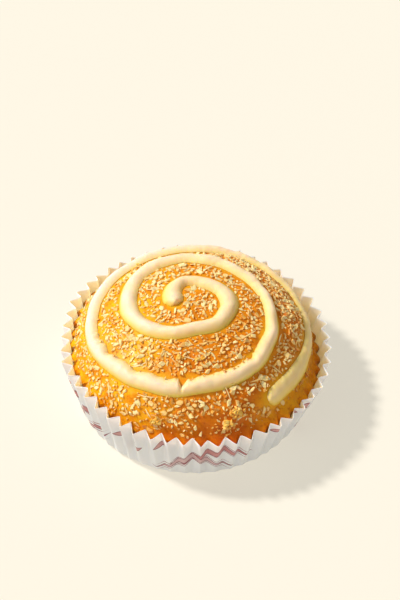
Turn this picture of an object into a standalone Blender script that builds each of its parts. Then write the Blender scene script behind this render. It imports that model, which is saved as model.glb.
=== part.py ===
"""A custard bun in its fluted paper case.

Lengths are in metres, with +Z up. The origin is under the middle of the whole, on
the surface that the case's flat base rests on. An azimuth of 0 points to the front
(-Y), and it grows towards +X. The bun is a dome of glazed dough that fills the case.
Coconut flakes are fused to it, and a spiral of piped custard lies on it.
"""

import bisect
import math
import random

import bmesh
import bpy
from mathutils import Matrix, Vector

MM = 0.001
TURN = 2.0 * math.pi

AXIS = Vector((-1.1 * MM, 0.2 * MM, 0.0))  # place of the bun's axis, in the whole's frame

# Paper case
FLUTES = 51
FIRST_FOLD = 0.061  # azimuth of one outer fold, in radians
BASE_RADIUS = 41.0 * MM  # to the middle of the folds, at the foot of the wall
BASE_BACK = 0.6 * MM  # the base lies this far behind the bun's axis
RIM_RADIUS = 45.5 * MM  # to the middle of the folds, at the rim
RIM_LEAN_RIGHT = 1.1 * MM  # the rim leans out this much more on the right
RIM_OVAL = 0.6 * MM  # the rim is this much wider across than from front to back
RIM_HEIGHT = 24.7 * MM
RIM_DROP_RIGHT = 2.9 * MM  # the rim is this much lower on the right than in the middle
RIM_DROP_FRONT = 0.7 * MM
RIM_DENT = 2.2 * MM  # the rim is pressed down this far at the back, on the left
DENT_AZIMUTH = -2.6  # in radians
DENT_TIGHTNESS = 12.0  # larger makes the dent narrower
FOLD_TIP_RISE = 0.25 * MM  # inner folds stand this much above the mean rim, outer ones below
BASE_CORNER = 1.4 * MM
BASE_THICK = 0.3 * MM
WALL_THICK = 0.45 * MM  # measured along the radius
WALL_ROWS = 5

# Bun
GAP = 0.3 * MM  # between neighbouring pieces
SIDE_GAP = 0.42 * MM  # along the radius, between the dough and the case's inner folds
FLUTE_FILL = 0.4  # share of a flute's depth that the dough swells into
BUN_HEIGHT = 44.0 * MM
CONTACT_HEIGHT = 16.5 * MM  # where the dough leaves the case at the back
CONTACT_RISE = 4.3 * MM  # it fills the case this much higher where it is fullest
FULLEST_AZIMUTH = 0.4  # where that is, in radians, at the front and a little to the right
FRONT_SWELL = 2.2 * MM  # how far it swells past the shoulder there
SHOULDER_HEIGHT = 18.5 * MM  # where the dome is widest
SHOULDER_RADIUS = 42.0 * MM
FULLNESS = 2.1  # 2 is an ellipsoid, and more is a fuller shoulder
SIDE_ROWS = 3
DOME_ROWS = 9
FIRST_DOME_TILT = 1.512  # of the dome's lowest row at the back, in radians
FIRST_DOME_RAISE = 0.09  # that row's tilt is this much less where the dough is fullest

# Piped custard
SPIRAL_MIDDLE = Vector((-1.5 * MM, 0.6 * MM))
SPIRAL_AZIMUTH = math.radians(-85.0)  # where the turns are counted from
FIRST_TURN = -0.05
LAST_TURN = 2.65
PIPED_RADII = [  # distance from the spiral's middle, at each eighth of a turn
    5.0, 7.2, 9.5, 10.9, 13.6, 13.7, 12.3, 16.0,
    20.2, 22.9, 23.4, 23.7, 27.3, 30.8, 31.4, 32.2,
    33.6, 32.3, 32.0, 36.6, 41.1, 40.7,
]
PIPED_WIDTHS = [  # at each eighth of a turn
    6.9, 6.2, 4.9, 5.6, 6.2, 5.5, 5.0, 5.2,
    6.0, 6.0, 6.0, 5.6, 4.6, 5.4, 6.0, 6.0,
    5.8, 6.0, 6.0, 5.0, 4.4, 6.2,
]
PIPED_HEIGHT = 2.7 * MM
TAIL_LOSS = 0.45  # share of that height that the bead loses towards its outer end
TAIL_TURNS = (2.3, 2.55)  # where it does
SEGMENT = 3.2 * MM
PIPED_END = 0.35  # share of the width that is left at the very end of the bead
PINCH_TURN = 1.775  # where the bead is pinched
PINCH_SPREAD = 0.015  # in turns
PINCH_DEPTH = 0.3
FULL_WIDTH = 5.0 * MM  # a narrower bead is also lower
NEAR = 0.004  # in turns, for the bead's heading
SECTION = [  # across and up, as shares of half the width and of the height
    (-0.86, 0.0),
    (0.86, 0.0),
    (1.0, 0.38),
    (0.66, 0.85),
    (0.0, 1.0),
    (-0.66, 0.85),
    (-1.0, 0.38),
]

# Coconut flakes
FLAKES = 300
FLAKE_LENGTH = (2.2 * MM, 3.6 * MM)
FLAKE_WIDTH = (1.0 * MM, 1.5 * MM)
FLAKE_TAPER = (0.45, 0.8)  # width of a flake's thin end, as a share of the other
FLAKE_TOP = 0.7  # width of its top, as a share of its foot
FLAKE_RISE = 0.6 * MM
FLAKE_SUNK = 0.5 * MM
FLAKE_SPACING = 3.0 * MM
FLAKE_CLEARANCE = 0.9 * MM  # from a flake's middle line to the custard's edge
DENSE_RADIUS = 36.0 * MM  # inside this the flakes lie closer together
SPARSE_CHANCE = 0.55
SEED = 11


def around(radius, azimuth, height):
    """The point at this radius, azimuth and height."""
    return Vector((radius * math.sin(azimuth), -radius * math.cos(azimuth), height))


def make_material(name, colour, roughness):
    material = bpy.data.materials.new(name)
    material.use_nodes = True
    shader = material.node_tree.nodes["Principled BSDF"]
    shader.inputs["Base Color"].default_value = (*colour, 1.0)
    shader.inputs["Roughness"].default_value = roughness
    shader.inputs["Metallic"].default_value = 0.0
    material.diffuse_color = (*colour, 1.0)
    return material


def make_object(name, bm, material, smooth_angle=None):
    mesh = bpy.data.meshes.new(name)
    bm.to_mesh(mesh)
    bm.free()
    mesh.materials.append(material)
    if smooth_angle is not None:
        mesh.shade_smooth()
        mesh.set_sharp_from_angle(angle=smooth_angle)
    obj = bpy.data.objects.new(name, mesh)
    bpy.context.scene.collection.objects.link(obj)
    return obj


# Paper case


def rim_height(azimuth):
    """Height of the rim, which the bun has pushed down on the right."""
    dent = RIM_DENT * math.exp(DENT_TIGHTNESS * (math.cos(azimuth - DENT_AZIMUTH) - 1.0))
    drop = RIM_DROP_RIGHT * math.sin(azimuth) + RIM_DROP_FRONT * math.cos(azimuth)
    return RIM_HEIGHT - drop - dent


def base_radius(azimuth):
    return BASE_RADIUS - BASE_BACK * math.cos(azimuth)


def rim_radius(azimuth):
    return RIM_RADIUS + RIM_LEAN_RIGHT * math.sin(azimuth) - RIM_OVAL * math.cos(2.0 * azimuth)


def wall_radius(azimuth, share):
    """Radius of the middle of the folds at a share of the wall's height."""
    base = base_radius(azimuth)
    return base + (rim_radius(azimuth) - base) * share


def fold_depth(azimuth, share):
    """Depth of the folds at a share of the wall's height.

    A flat disc of paper is pleated into the wall, so at each height the folds take
    up the difference between the paper's own circumference and the wall's.
    """
    base = base_radius(azimuth)
    slant = math.hypot(rim_height(azimuth), rim_radius(azimuth) - base)
    radius = wall_radius(azimuth, share)
    half_pitch = 0.5 * TURN * radius / FLUTES
    return half_pitch * math.sqrt(max(0.0, ((base + slant * share) / radius) ** 2 - 1.0))


def fold_azimuth(column):
    """Even columns are outer folds, and odd ones are inner folds."""
    return FIRST_FOLD + TURN * column / (2 * FLUTES)


def fold_side(column):
    return 1.0 if column % 2 == 0 else -1.0


def wall_point(column, share, inset):
    azimuth = fold_azimuth(column)
    side = fold_side(column)
    radius = wall_radius(azimuth, share) + 0.5 * side * fold_depth(azimuth, share) - inset
    height = share * (rim_height(azimuth) - side * FOLD_TIP_RISE)
    return around(radius, azimuth, height)


def floor_point(column, inset, height):
    azimuth = fold_azimuth(column)
    return around(base_radius(azimuth) - inset, azimuth, height)


def add_ring(bm, count, point):
    return [bm.verts.new(point(column)) for column in range(count)]


def bridge(bm, lower, upper):
    """Quads between two rings of one length, facing out when upper is above lower."""
    count = len(lower)
    for i in range(count):
        j = (i + 1) % count
        bm.faces.new((lower[i], lower[j], upper[j], upper[i]))


def make_paper_case(material):
    bm = bmesh.new()
    columns = 2 * FLUTES
    foot = BASE_CORNER / RIM_HEIGHT
    shares = [foot + (1.0 - foot) * (row / WALL_ROWS) for row in range(WALL_ROWS + 1)]
    outer = [add_ring(bm, columns, lambda c: floor_point(c, BASE_CORNER, 0.0))]
    for share in shares:
        outer.append(add_ring(bm, columns, lambda c: wall_point(c, share, 0.0)))
    inner = []
    for share in reversed(shares):
        inner.append(add_ring(bm, columns, lambda c: wall_point(c, share, WALL_THICK)))
    floor_inset = BASE_CORNER + 0.3 * WALL_THICK
    inner.append(add_ring(bm, columns, lambda c: floor_point(c, floor_inset, BASE_THICK)))
    rings = outer + inner
    for lower, upper in zip(rings, rings[1:]):
        bridge(bm, lower, upper)
    bm.faces.new(list(reversed(rings[0])))
    bm.faces.new(rings[-1])
    return make_object("paper_case", bm, material)


# Bun


def dome_point(azimuth, tilt):
    """A point of the dome, with tilt 0 at the top and a quarter turn at the shoulder."""
    power = 2.0 / FULLNESS
    radius = SHOULDER_RADIUS * math.sin(tilt) ** power
    rise = (BUN_HEIGHT - SHOULDER_HEIGHT) * max(0.0, math.cos(tilt)) ** power
    return around(radius, azimuth, SHOULDER_HEIGHT + rise)


def dome_height(radius):
    share = min(1.0, radius / SHOULDER_RADIUS)
    rise = (1.0 - share**FULLNESS) ** (1.0 / FULLNESS)
    return SHOULDER_HEIGHT + (BUN_HEIGHT - SHOULDER_HEIGHT) * rise


def on_dome(x, y):
    return Vector((x, y, dome_height(math.hypot(x, y))))


def dome_normal(point):
    """Outward normal of the dome, from the gradient of its equation."""
    radius = max(1e-6, math.hypot(point.x, point.y))
    cap = BUN_HEIGHT - SHOULDER_HEIGHT
    across = (radius / SHOULDER_RADIUS) ** (FULLNESS - 1.0) / SHOULDER_RADIUS
    up = (max(0.0, point.z - SHOULDER_HEIGHT) / cap) ** (FULLNESS - 1.0) / cap
    return Vector((across * point.x / radius, across * point.y / radius, up)).normalized()


def fullness_at(azimuth):
    """How much fuller the dough is at an azimuth, from 0 at the back to 1 at the front."""
    share = min(1.0, max(0.0, (math.cos(azimuth - FULLEST_AZIMUTH) + 0.1) / 0.85))
    return share * share * (3.0 - 2.0 * share)


def side_point(column, row_share):
    """The dough against the case, swelling a little way into each flute."""
    azimuth = fold_azimuth(column)
    low = BASE_THICK + GAP + BASE_CORNER
    top = CONTACT_HEIGHT + CONTACT_RISE * fullness_at(azimuth)
    height = low + (top - low) * row_share
    share = height / rim_height(azimuth)
    depth = fold_depth(azimuth, share)
    radius = wall_radius(azimuth, share) - 0.5 * depth - WALL_THICK - SIDE_GAP
    if fold_side(column) > 0.0:
        radius += FLUTE_FILL * depth
    limit = SHOULDER_RADIUS + FRONT_SWELL * fullness_at(azimuth)
    return around(min(radius, limit), azimuth, height)


def dome_row_point(column, row):
    """Dome rows are evenly spaced in tilt, from the row that meets the side to the top."""
    azimuth = fold_azimuth(column)
    first = FIRST_DOME_TILT - FIRST_DOME_RAISE * fullness_at(azimuth)
    return dome_point(azimuth, first * (DOME_ROWS - row) / DOME_ROWS)


def make_dough(material):
    bm = bmesh.new()
    columns = 2 * FLUTES
    low = BASE_THICK + GAP
    bottom_inset = BASE_CORNER + WALL_THICK + SIDE_GAP
    rings = [add_ring(bm, columns, lambda c: floor_point(c, bottom_inset, low))]
    for row in range(SIDE_ROWS + 1):
        rings.append(add_ring(bm, columns, lambda c: side_point(c, row / SIDE_ROWS)))
    for lower, upper in zip(rings, rings[1:]):
        bridge(bm, lower, upper)
    bm.faces.new(list(reversed(rings[0])))

    dome = []
    for row in range(DOME_ROWS):
        dome.append(add_ring(bm, FLUTES, lambda c: dome_row_point(2 * c, row)))
    side = rings[-1]
    shoulder = dome[0]
    for i in range(FLUTES):
        j = (i + 1) % FLUTES
        middle = side[2 * i + 1]
        bm.faces.new((side[2 * i], middle, shoulder[i]))
        bm.faces.new((middle, shoulder[j], shoulder[i]))
        bm.faces.new((middle, side[(2 * i + 2) % columns], shoulder[j]))
    for lower, upper in zip(dome, dome[1:]):
        bridge(bm, lower, upper)
    apex = bm.verts.new((0.0, 0.0, BUN_HEIGHT))
    last = dome[-1]
    for i in range(FLUTES):
        bm.faces.new((last[i], last[(i + 1) % FLUTES], apex))
    return make_object("bun", bm, material, math.radians(40.0))


# Piped custard


def smooth_value(values, step, place):
    """A Catmull-Rom curve through values that lie a step apart, read at a place."""
    spot = min(max(place / step, 0.0), len(values) - 1.000001)
    i = int(spot)
    t = spot - i
    before = values[max(i - 1, 0)]
    here = values[i]
    there = values[i + 1]
    after = values[min(i + 2, len(values) - 1)]
    bend = 2.0 * before - 5.0 * here + 4.0 * there - after
    twist = 3.0 * (here - there) + after - before
    return 0.5 * (2.0 * here + (there - before) * t + bend * t * t + twist * t**3)


def piped_centre(turns):
    """Middle of the custard's underside, this many turns from its start."""
    radius = smooth_value(PIPED_RADII, 0.125, turns) * MM
    flat = around(radius, SPIRAL_AZIMUTH - TURN * turns, 0.0).xy + SPIRAL_MIDDLE
    return on_dome(flat.x, flat.y)


def spiral_stations():
    """Evenly spaced places along the spiral, in turns, with their distances."""
    fine = 2000
    turns = [FIRST_TURN + (LAST_TURN - FIRST_TURN) * i / fine for i in range(fine + 1)]
    points = [piped_centre(t) for t in turns]
    run = [0.0]
    for a, b in zip(points, points[1:]):
        run.append(run[-1] + (b - a).length)
    count = round(run[-1] / SEGMENT)
    stations = []
    for i in range(count + 1):
        along = run[-1] * i / count
        k = min(bisect.bisect_left(run, along), fine)
        stations.append((turns[k], along))
    return stations, run[-1]


def piped_width(turns, along, length):
    """Full width of the bead, with round ends and one pinch."""
    width = smooth_value(PIPED_WIDTHS, 0.125, turns) * MM
    half = 0.5 * width
    from_end = min(along, length - along)
    if from_end < half:
        width *= math.sqrt(max(PIPED_END**2, 1.0 - (1.0 - from_end / half) ** 2))
    pinch = (turns - PINCH_TURN) / PINCH_SPREAD
    return width * (1.0 - PINCH_DEPTH * math.exp(-pinch * pinch))


def piped_height(turns, width):
    """Height of the bead, which is lower where it is narrow and towards its outer end."""
    share = (turns - TAIL_TURNS[0]) / (TAIL_TURNS[1] - TAIL_TURNS[0])
    share = min(1.0, max(0.0, share))
    loss = TAIL_LOSS * share * share * (3.0 - 2.0 * share)
    return PIPED_HEIGHT * min(1.0, 0.5 * (1.0 + width / FULL_WIDTH)) * (1.0 - loss)


def make_custard(material, stations, length):
    bm = bmesh.new()
    rings = []
    for turns, along in stations:
        centre = piped_centre(turns)
        ahead = piped_centre(turns + NEAR) - piped_centre(turns - NEAR)
        normal = dome_normal(centre)
        across = ahead.cross(normal).normalized()
        width = piped_width(turns, along, length)
        height = piped_height(turns, width)
        ring = []
        for side, up in SECTION:
            shift = across * (side * 0.5 * width) + normal * (GAP + up * height)
            ring.append(bm.verts.new(centre + shift))
        rings.append(ring)
    for lower, upper in zip(rings, rings[1:]):
        bridge(bm, lower, upper)
    bm.faces.new(list(reversed(rings[0])))
    bm.faces.new(rings[-1])
    bmesh.ops.recalc_face_normals(bm, faces=bm.faces)
    return make_object("custard_spiral", bm, material, math.radians(60.0))


# Coconut flakes


def flake_mesh(length, width, draw):
    """A shard that is narrower at one end and at the top."""
    bm = bmesh.new()
    bmesh.ops.create_cube(bm, size=1.0)
    tail = draw.uniform(*FLAKE_TAPER)
    for vert in bm.verts:
        taper = tail if vert.co.x > 0.0 else 1.0
        top = FLAKE_TOP if vert.co.z > 0.0 else 1.0
        vert.co.x *= length * 0.5 * (1.0 + top)
        vert.co.y *= width * taper * top
        vert.co.z = FLAKE_RISE * taper if vert.co.z > 0.0 else -FLAKE_SUNK
    return bm


def scatter_flakes(material, stations, length):
    """Shards spread over the dome, closer together towards the top."""
    draw = random.Random(SEED)
    path = [(piped_centre(t), 0.5 * piped_width(t, a, length)) for t, a in stations]
    group = bpy.data.collections.new("flakes")
    bpy.context.scene.collection.children.link(group)
    placed = []
    tries = 0
    while len(placed) < FLAKES and tries < 40000:
        tries += 1
        radius = SHOULDER_RADIUS * math.sqrt(draw.uniform(0.0, 0.955))
        azimuth = draw.uniform(0.0, TURN)
        heading = draw.uniform(0.0, TURN)
        long = draw.uniform(*FLAKE_LENGTH)
        wide = draw.uniform(*FLAKE_WIDTH)
        keep = draw.random()
        if radius > DENSE_RADIUS and keep > SPARSE_CHANCE:
            continue
        flat = around(radius, azimuth, 0.0)
        centre = on_dome(flat.x, flat.y)
        if any((centre - other).length < FLAKE_SPACING for other in placed):
            continue
        normal = dome_normal(centre)
        side = normal.orthogonal().normalized()
        along = Matrix.Rotation(heading, 3, normal) @ side
        ends = [centre + along * (0.5 * long * share) for share in (-1.0, -0.5, 0.0, 0.5, 1.0)]
        if any((end - p).length < half + FLAKE_CLEARANCE for end in ends for p, half in path):
            continue
        lowest = min(end.z for end in ends)
        if lowest < rim_height(azimuth) + FLAKE_CLEARANCE:
            continue
        bm = flake_mesh(long, wide, draw)
        frame = Matrix((along, normal.cross(along), normal)).transposed()
        bmesh.ops.transform(bm, matrix=Matrix.Translation(centre) @ frame.to_4x4(), verts=bm.verts)
        flake = make_object(f"flake_{len(placed):03d}", bm, material)
        bpy.context.scene.collection.objects.unlink(flake)
        group.objects.link(flake)
        placed.append(centre)
    return group


def fuse(base, group):
    """Join a collection's objects to the base with one union."""
    union = base.modifiers.new("fused_flakes", "BOOLEAN")
    union.operation = "UNION"
    union.operand_type = "COLLECTION"
    union.collection = group
    union.solver = "EXACT"
    bpy.context.view_layer.update()
    graph = bpy.context.evaluated_depsgraph_get()
    joined = bpy.data.meshes.new_from_object(base.evaluated_get(graph), depsgraph=graph)
    base.modifiers.remove(union)
    plain = base.data
    base.data = joined
    joined.name = base.name
    bpy.data.meshes.remove(plain)
    for obj in list(group.objects):
        bpy.data.objects.remove(obj, do_unlink=True)
    bpy.data.collections.remove(group)


def clear_scene():
    for obj in list(bpy.data.objects):
        bpy.data.objects.remove(obj, do_unlink=True)


def main():
    clear_scene()
    paper = make_material("paper", (0.82, 0.79, 0.78), 0.6)
    glaze = make_material("glazed_crust", (0.83, 0.40, 0.06), 0.28)
    custard = make_material("custard", (0.95, 0.84, 0.55), 0.4)
    make_paper_case(paper)
    bun = make_dough(glaze)
    stations, length = spiral_stations()
    make_custard(custard, stations, length)
    fuse(bun, scatter_flakes(glaze, stations, length))
    for obj in bpy.data.objects:
        obj.location = AXIS


main()
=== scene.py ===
import bpy
import numpy as np
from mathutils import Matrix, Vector


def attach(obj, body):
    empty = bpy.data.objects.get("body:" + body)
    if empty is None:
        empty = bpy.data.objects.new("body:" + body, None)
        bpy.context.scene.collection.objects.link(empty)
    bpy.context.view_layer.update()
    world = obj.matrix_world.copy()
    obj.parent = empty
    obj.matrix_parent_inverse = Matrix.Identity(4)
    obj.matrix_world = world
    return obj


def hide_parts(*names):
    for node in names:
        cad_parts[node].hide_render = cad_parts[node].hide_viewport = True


# A custard bun in its fluted paper case. Lengths here are in millimetres, and putMesh
# turns them into metres. An azimuth of 0 points to the front (-Y) and grows towards +X.
# The shapes are worked out about the bun's own axis, and putMesh moves them to its place.

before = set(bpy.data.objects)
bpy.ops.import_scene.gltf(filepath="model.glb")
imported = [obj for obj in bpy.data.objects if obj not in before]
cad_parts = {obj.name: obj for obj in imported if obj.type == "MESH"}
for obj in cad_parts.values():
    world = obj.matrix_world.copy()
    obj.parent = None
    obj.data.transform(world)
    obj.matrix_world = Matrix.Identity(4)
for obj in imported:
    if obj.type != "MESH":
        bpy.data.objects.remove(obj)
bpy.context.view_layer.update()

metresPerMm = 0.001
fullTurn = 2.0 * np.pi
bunAxis = np.array([-1.1, 0.2, 0.0])  # where the bun's axis stands


# Meshes

def around(radius, azimuth, height):
    # points at a radius, an azimuth and a height
    radius, azimuth, height = np.broadcast_arrays(radius, azimuth, height)
    return np.stack([radius * np.sin(azimuth), -radius * np.cos(azimuth), height], axis=-1)


def putMesh(name, points, faces, material, values=None, flat=False, uv=None):
    # points is (n, 3) in millimetres, and faces is a list of (m, 3) and (m, 4) arrays
    mesh = bpy.data.meshes.new(name)
    points = (points.reshape(-1, 3) + bunAxis) * metresPerMm
    corners = np.concatenate([part.ravel() for part in faces]).astype(np.int32)
    sizes = np.concatenate([np.full(len(part), part.shape[1]) for part in faces])
    starts = (np.cumsum(sizes) - sizes).astype(np.int32)
    mesh.vertices.add(len(points))
    mesh.vertices.foreach_set("co", points.astype(np.float32).ravel())
    mesh.loops.add(len(corners))
    mesh.loops.foreach_set("vertex_index", corners)
    mesh.polygons.add(len(sizes))
    mesh.polygons.foreach_set("loop_start", starts)
    mesh.polygons.foreach_set("use_smooth", np.full(len(sizes), not flat))
    mesh.update(calc_edges=True)
    mesh.validate()
    for key, numbers in (values or {}).items():
        layer = mesh.attributes.new(key, "FLOAT", "POINT")
        layer.data.foreach_set("value", np.asarray(numbers, np.float32).ravel())
    if uv is not None:
        layer = mesh.uv_layers.new(name="paperPlan")
        layer.data.foreach_set("uv", uv.reshape(-1, 2)[corners].astype(np.float32).ravel())
    mesh.materials.append(material)
    piece = bpy.data.objects.new(name, mesh)
    bpy.context.scene.collection.objects.link(piece)
    print("made", name, "with", len(points), "points")
    return piece


def gridFaces(rows, columns):
    # quads of a grid of points whose columns go all the way round; they face the side
    # from which columns run to the right when rows go up
    row, column = np.meshgrid(np.arange(rows - 1), np.arange(columns), indexing="ij")
    after = (column + 1) % columns
    corners = [row * columns + column, row * columns + after,
               (row + 1) * columns + after, (row + 1) * columns + column]
    return np.stack(corners, axis=-1).reshape(-1, 4)


def poleFaces(first, columns, pole, up):
    # a fan from one ring of the grid to a single point
    column = np.arange(columns)
    after = (column + 1) % columns
    pair = [first + column, first + after] if up else [first + after, first + column]
    return np.stack(pair + [np.full(columns, pole)], axis=-1)


def closedGrid(points):
    # a stack of rings, closed by a point at the middle of the first one and of the last
    rows, columns = points.shape[:2]
    ends = np.stack([points[0].mean(axis=0), points[-1].mean(axis=0)])
    allPoints = np.concatenate([points.reshape(-1, 3), ends])
    count = rows * columns
    faces = [gridFaces(rows, columns), poleFaces(0, columns, count, False),
             poleFaces(count - columns, columns, count + 1, True)]
    return allPoints, faces


def softNoise(points, size, seed, waves=18):
    # a sum of plane waves about one size long, with seeded directions and phases,
    # scaled so that it mostly lies between -1 and 1
    draw = np.random.default_rng(seed)
    heading = draw.normal(size=(waves, 3))
    heading /= np.linalg.norm(heading, axis=1, keepdims=True)
    heading *= fullTurn / (size * draw.uniform(0.7, 1.5, (waves, 1)))
    phase = draw.uniform(0.0, fullTurn, waves)
    return np.sin(points @ heading.T + phase).sum(axis=-1) / np.sqrt(waves)


def smoothStep(value, low, high):
    # 0 below low, 1 above high, and an S between
    share = np.clip((value - low) / (high - low), 0.0, 1.0)
    return share * share * (3.0 - 2.0 * share)


# Materials

def addNode(tree, kind, inputs=None, **settings):
    # a node whose inputs are numbers, colours or other nodes' outputs
    node = tree.nodes.new("ShaderNode" + kind)
    for key, value in settings.items():
        setattr(node, key, value)
    for key, value in (inputs or {}).items():
        if isinstance(value, bpy.types.NodeSocket):
            tree.links.new(value, node.inputs[key])
        else:
            node.inputs[key].default_value = value
    return node


def calc(tree, operation, *values):
    # the result of one Math node
    return addNode(tree, "Math", dict(enumerate(values)), operation=operation).outputs[0]


def mixColours(tree, share, low, high):
    # low where share is 0 and high where it is 1
    inputs = {0: share, 6: low, 7: high}
    return addNode(tree, "Mix", inputs, data_type="RGBA", clamp_factor=True).outputs[2]


def tint(tree, colour, share, amount, towards):
    # the colour moved towards another one by a part of the share
    return mixColours(tree, calc(tree, "MULTIPLY", share, amount), colour, towards)


def spread(tree, value, low, high):
    # value's range low to high, stretched to 0 to 1
    inputs = {0: value, 1: low, 2: high}
    return addNode(tree, "MapRange", inputs, clamp=True).outputs[0]


def noiseOf(tree, place, size, detail=3.0, rough=0.5):
    # noise whose lumps are about size millimetres
    scale = 1.0 / (size * metresPerMm)
    inputs = {"Vector": place, "Scale": scale, "Detail": detail, "Roughness": rough}
    return addNode(tree, "TexNoise", inputs).outputs["Fac"]


def readValue(tree, key):
    # a number that the mesh holds at each point
    return addNode(tree, "Attribute", attribute_name=key).outputs["Fac"]


def rgb(red, green, blue):
    return (red, green, blue, 1.0)


def startMaterial(name, settings):
    # a Principled material with its constant values set on the shader's own sockets
    material = bpy.data.materials.new(name)
    material.use_nodes = True
    tree = material.node_tree
    shader = tree.nodes["Principled BSDF"]
    for key, value in settings.items():
        shader.inputs[key].default_value = value
    place = addNode(tree, "TexCoord").outputs["Object"]
    return material, tree, shader, place


def addBump(tree, shader, height, distance, strength):
    # relief in the shading only, its distance in millimetres
    inputs = {"Height": height, "Distance": distance * metresPerMm, "Strength": strength}
    bump = addNode(tree, "Bump", inputs)
    tree.links.new(bump.outputs["Normal"], shader.inputs["Normal"])


def makeGlaze():
    # golden egg glaze: patches of two oranges, gold beside the custard, with brown patches and darker
    # specks;
    # painted light makes it yellower on top and on the left, where the key falls, and low on the right,
    # where it lifts the shade, and painted shade darkens the side inside the case
    material, tree, shader, place = startMaterial("goldenGlaze", {
        "Coat Weight": 0.08, "Coat Roughness": 0.15, "Specular IOR Level": 0.12,
        "Subsurface Weight": 0.35, "Subsurface Scale": 1.5 * metresPerMm,
        "Subsurface Radius": (1.0, 0.55, 0.1),
    })
    patches = spread(tree, noiseOf(tree, place, 11.0, 4.0, 0.6), 0.38, 0.64)
    colour = mixColours(tree, patches, rgb(0.62, 0.145, 0.002), rgb(0.77, 0.220, 0.003))
    # painted light: the glaze is paler and yellower on top, where the key light falls
    colour = tint(tree, colour, readValue(tree, "paintedLightTop"), 0.4, rgb(0.92, 0.37, 0.006))
    # painted light: gold on the left, where the key falls, and low on the right, where it lifts the shade
    gold = mixColours(tree, patches, rgb(0.90, 0.36, 0.004), rgb(0.98, 0.57, 0.010))
    colour = tint(tree, colour, readValue(tree, "paintedLightSide"), 0.9, gold)
    browned = spread(tree, noiseOf(tree, place, 4.2, 4.0, 0.65), 0.50, 0.66)
    colour = tint(tree, colour, browned, 0.55, rgb(0.56, 0.115, 0.002))
    speckle = spread(tree, noiseOf(tree, place, 1.2, 3.0, 0.6), 0.54, 0.70)
    colour = tint(tree, colour, speckle, 0.55, rgb(0.48, 0.085, 0.002))
    colour = tint(tree, colour, readValue(tree, "smear"), 0.85, rgb(0.82, 0.42, 0.012))
    # painted shade: the dough's side inside the case is darker
    colour = mixColours(tree, readValue(tree, "paintedShadeBelowRim"), colour, rgb(0.62, 0.27, 0.04))
    tree.links.new(colour, shader.inputs["Base Color"])
    grain = noiseOf(tree, place, 0.9, 4.0, 0.6)
    tree.links.new(spread(tree, grain, -0.4, 2.0), shader.inputs["Roughness"])
    addBump(tree, shader, grain, 0.22, 0.7)
    return material


def makeCustardCream():
    # piped custard: smooth; yellower towards its foot, where thin custard shows the glaze and painted
    # shade stands for its shaded flanks, and paler where its turns pass the left, a painted light
    material, tree, shader, place = startMaterial("pipedCustard", {
        "Roughness": 0.5, "Subsurface Weight": 0.6, "Subsurface Scale": 1.6 * metresPerMm,
        "Subsurface Radius": (1.0, 0.7, 0.25), "Specular IOR Level": 0.2,
    })
    cloud = spread(tree, noiseOf(tree, place, 6.0), 0.3, 0.7)
    colour = mixColours(tree, cloud, rgb(0.97, 0.70, 0.43), rgb(0.98, 0.73, 0.50))
    # painted light: paler where the turns pass the left, which faces the key
    colour = mixColours(tree, readValue(tree, "pale"), colour, rgb(0.96, 0.74, 0.66))
    # yellower towards the foot: thin custard over the glaze, and painted shade on the flanks
    colour = mixColours(tree, readValue(tree, "foot"), colour, rgb(1.0, 0.64, 0.07))
    tree.links.new(colour, shader.inputs["Base Color"])
    grain = noiseOf(tree, place, 1.8)
    addBump(tree, shader, grain, 0.10, 0.5)
    return material


def makeCoconut(name, pale, warm, toasted):
    # dried coconut: each piece has its own tone, from pale to toasted; the tone also carries painted
    # shade at the pieces' feet and on the side away from the key
    material, tree, shader, place = startMaterial(name, {
        "Roughness": 0.5, "Subsurface Weight": 0.5, "Subsurface Scale": 0.8 * metresPerMm,
        "Subsurface Radius": (1.0, 0.8, 0.45), "Specular IOR Level": 0.35,
    })
    tone = readValue(tree, "tone")
    colour = mixColours(tree, spread(tree, tone, 0.2, 0.8), pale, warm)
    colour = mixColours(tree, spread(tree, tone, 0.86, 1.1), colour, toasted)
    fibre = spread(tree, noiseOf(tree, place, 0.5, 2.0, 0.5), 0.4, 0.75)
    colour = tint(tree, colour, fibre, 0.3, warm)
    tree.links.new(colour, shader.inputs["Base Color"])
    addBump(tree, shader, noiseOf(tree, place, 0.35, 2.0, 0.5), 0.05, 0.5)
    return material


casePrint = {
    "planSize": 140.0,         # millimetres of flat sheet across the UV map
    "wobble": 5.0,             # how unsteady the lines are
    "ribbonMiddle": 53.5,      # radius on the flat sheet, in millimetres
    "ribbonSwing": 4.4,
    "ribbonWaves": 9,
    "ribbonHalfWidth": 1.5,
    "ribbonStep": 5.0,         # the second ribbon lies this much further in
    "lineWidth": 0.45,
    "softEdge": 0.12,
    "echoDistance": 2.1,
    "echoHalfWidth": 0.24,
    "swells": 5,               # times that each ribbon comes and goes
    "vineMiddle": 58.0,
    "vineSwing": 3.6,
    "vineWaves": 7,
    "leaves": 34,
    "leafHalfWidth": 1.6,
}


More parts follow.
